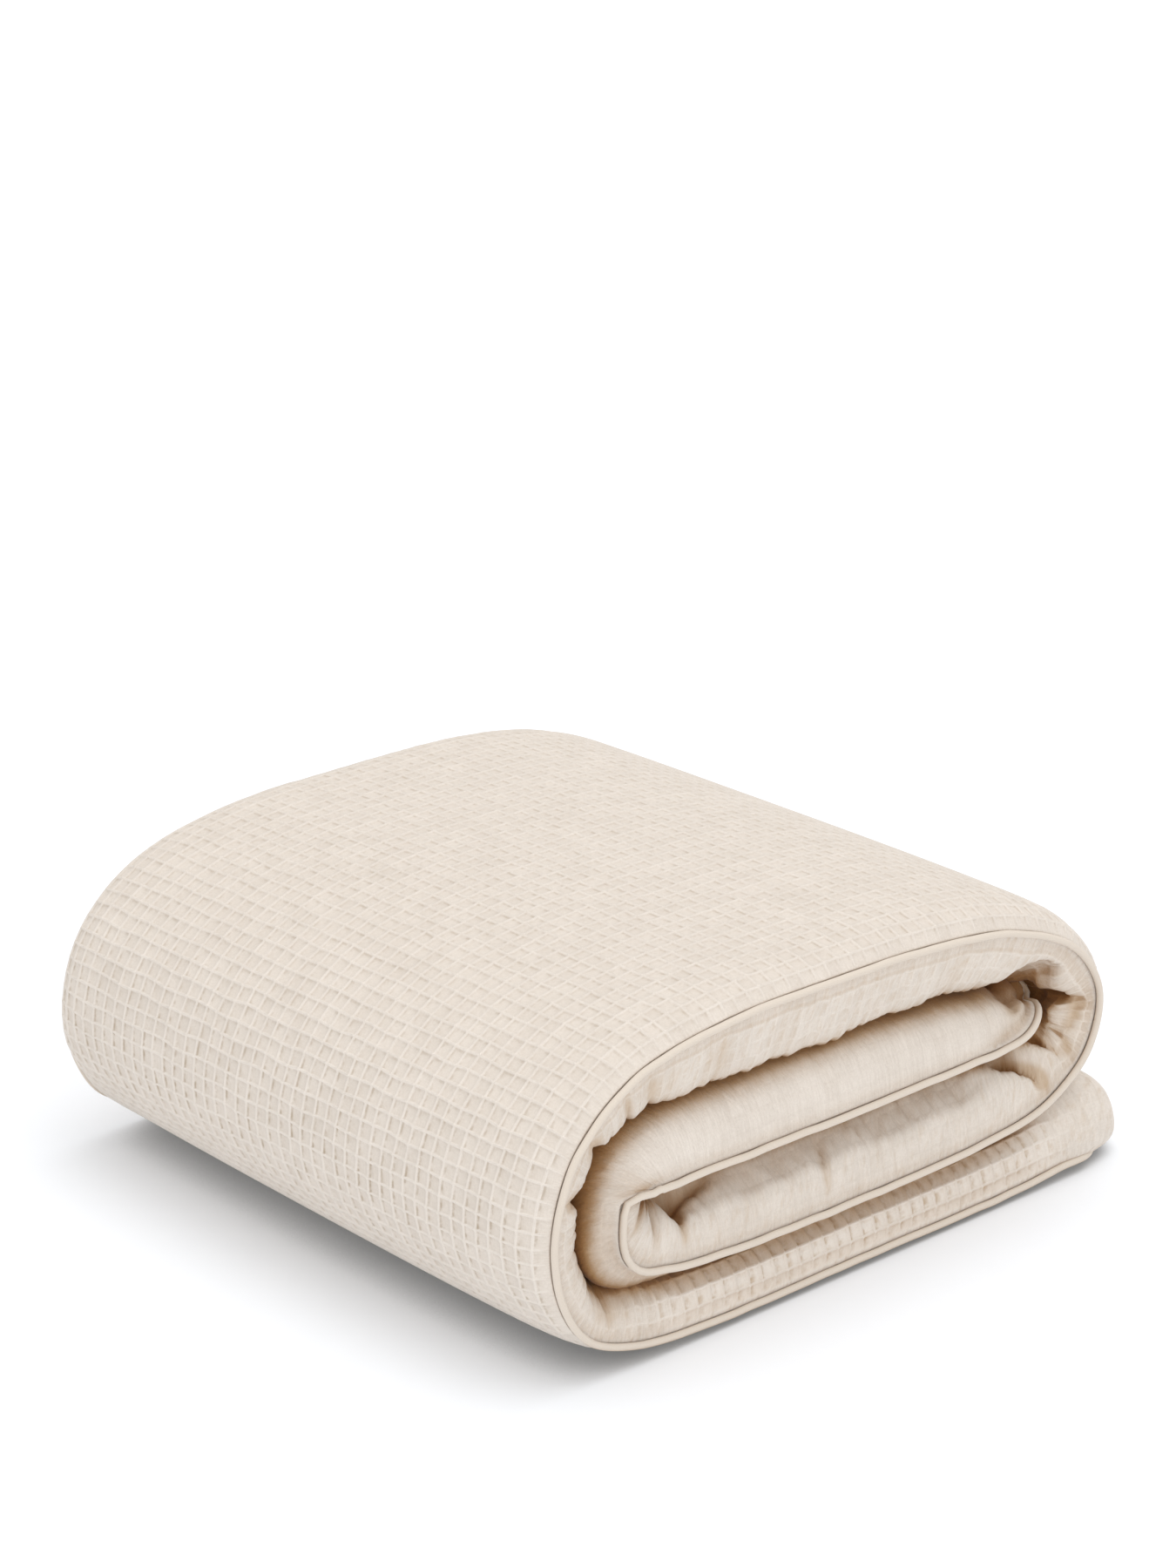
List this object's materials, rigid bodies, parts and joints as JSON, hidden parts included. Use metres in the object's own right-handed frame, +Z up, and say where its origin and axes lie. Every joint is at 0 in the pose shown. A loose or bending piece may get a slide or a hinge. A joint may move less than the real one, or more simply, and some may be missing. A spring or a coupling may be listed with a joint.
{
  "type": "folded cot quilt",
  "caption": "Padded waffle-weave cot quilt with a piped edge, folded into a flat bundle that lies on a surface, its layers turned over at the sides and tucked back inside.",
  "frame": {"origin": "on the surface that the folded quilt lies on, under the middle of its bounding box", "axes": "+Z up, +X from the big left bend to the free end on the surface, +Y from the pictured open side to the far open side"},
  "size_m": [0.3752, 0.3446, 0.1561],
  "materials": {
    "waffle_cloth": "matte waffle-weave cotton, warm cream",
    "piping_cloth": "matte plain-weave cotton, a shade paler than the quilt"
  },
  "bodies": {
    "root": {"quilt": "waffle_cloth", "piping": "piping_cloth"}
  },
  "joints": []
}
